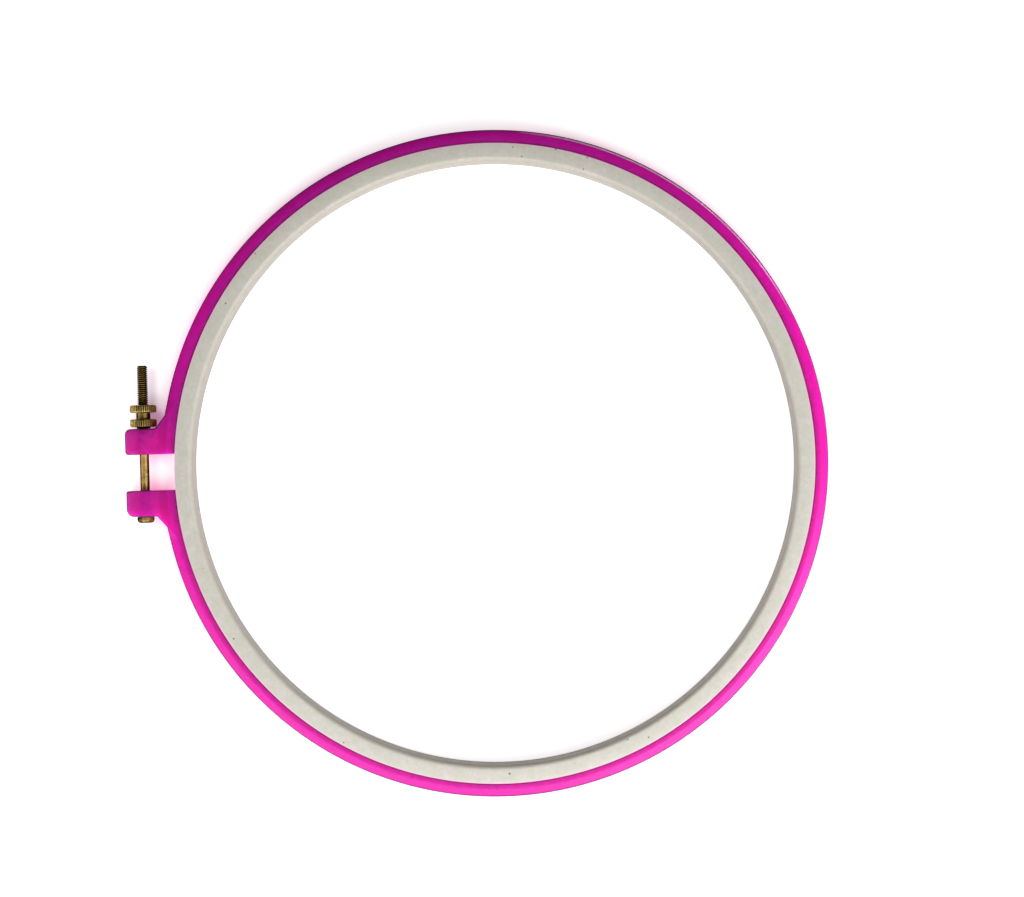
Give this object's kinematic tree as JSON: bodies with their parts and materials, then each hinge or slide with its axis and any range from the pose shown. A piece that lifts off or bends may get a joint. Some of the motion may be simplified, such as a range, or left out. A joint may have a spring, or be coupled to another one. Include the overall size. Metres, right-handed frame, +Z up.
{
  "type": "embroidery hoop",
  "caption": "Round screw-tightened embroidery hoop: a plain inner ring gripped by a split outer ring with clamp lugs, a brass screw and a knurled thumb nut.",
  "frame": {"origin": "middle of the hoop's footprint, lugs included, on the surface that it lies on", "axes": "+Z up out of the hoop's face, the clamp lugs towards -X, +Y along the clamp screw towards its tip"},
  "size_m": [0.214, 0.2032, 0.0095],
  "materials": {
    "inner_ring_plastic": "warm light grey moulded plastic, satin, faintly mottled",
    "outer_ring_plastic": "bright magenta pink moulded plastic, semi-gloss, slightly translucent",
    "screw_brass": "aged brass with a dark oxidised thread",
    "nut_brass": "aged brass with dark knurl grooves"
  },
  "bodies": {
    "inner_ring": {"inner_ring": "inner_ring_plastic"},
    "outer_ring": {"outer_ring_upper_arm": "outer_ring_plastic"},
    "outer_ring_free_arm": {"outer_ring_lower_arm": "outer_ring_plastic"},
    "screw": {"clamp_screw": "screw_brass"},
    "nut": {"clamp_nut": "nut_brass"}
  },
  "joints": [
    {"name": "outer_ring_lift", "type": "slide", "parent": "inner_ring", "child": "outer_ring", "axis": [0, 0, 1], "range_m": [0, 0.012]},
    {"name": "nut_turn", "type": "hinge", "parent": "outer_ring", "child": "nut", "pos_m": [-0.1019, 0.0135, 0.00475], "axis": [0, 1, 0], "range_deg": [0, 4320]},
    {"name": "screw_travel", "type": "slide", "parent": "outer_ring", "child": "screw", "axis": [0, -1, 0], "range_m": [0, 0.00762]},
    {"name": "ring_spread", "type": "hinge", "parent": "outer_ring", "child": "outer_ring_free_arm", "pos_m": [0.107, 0, 0.00475], "axis": [0, 0, 1], "range_deg": [0, 2.09]}
  ],
  "couplings": [
    {"joint": "nut_turn", "follows": "ring_spread", "ratio": 2067},
    {"joint": "screw_travel", "follows": "ring_spread", "m_per_rad": 0.20889}
  ]
}
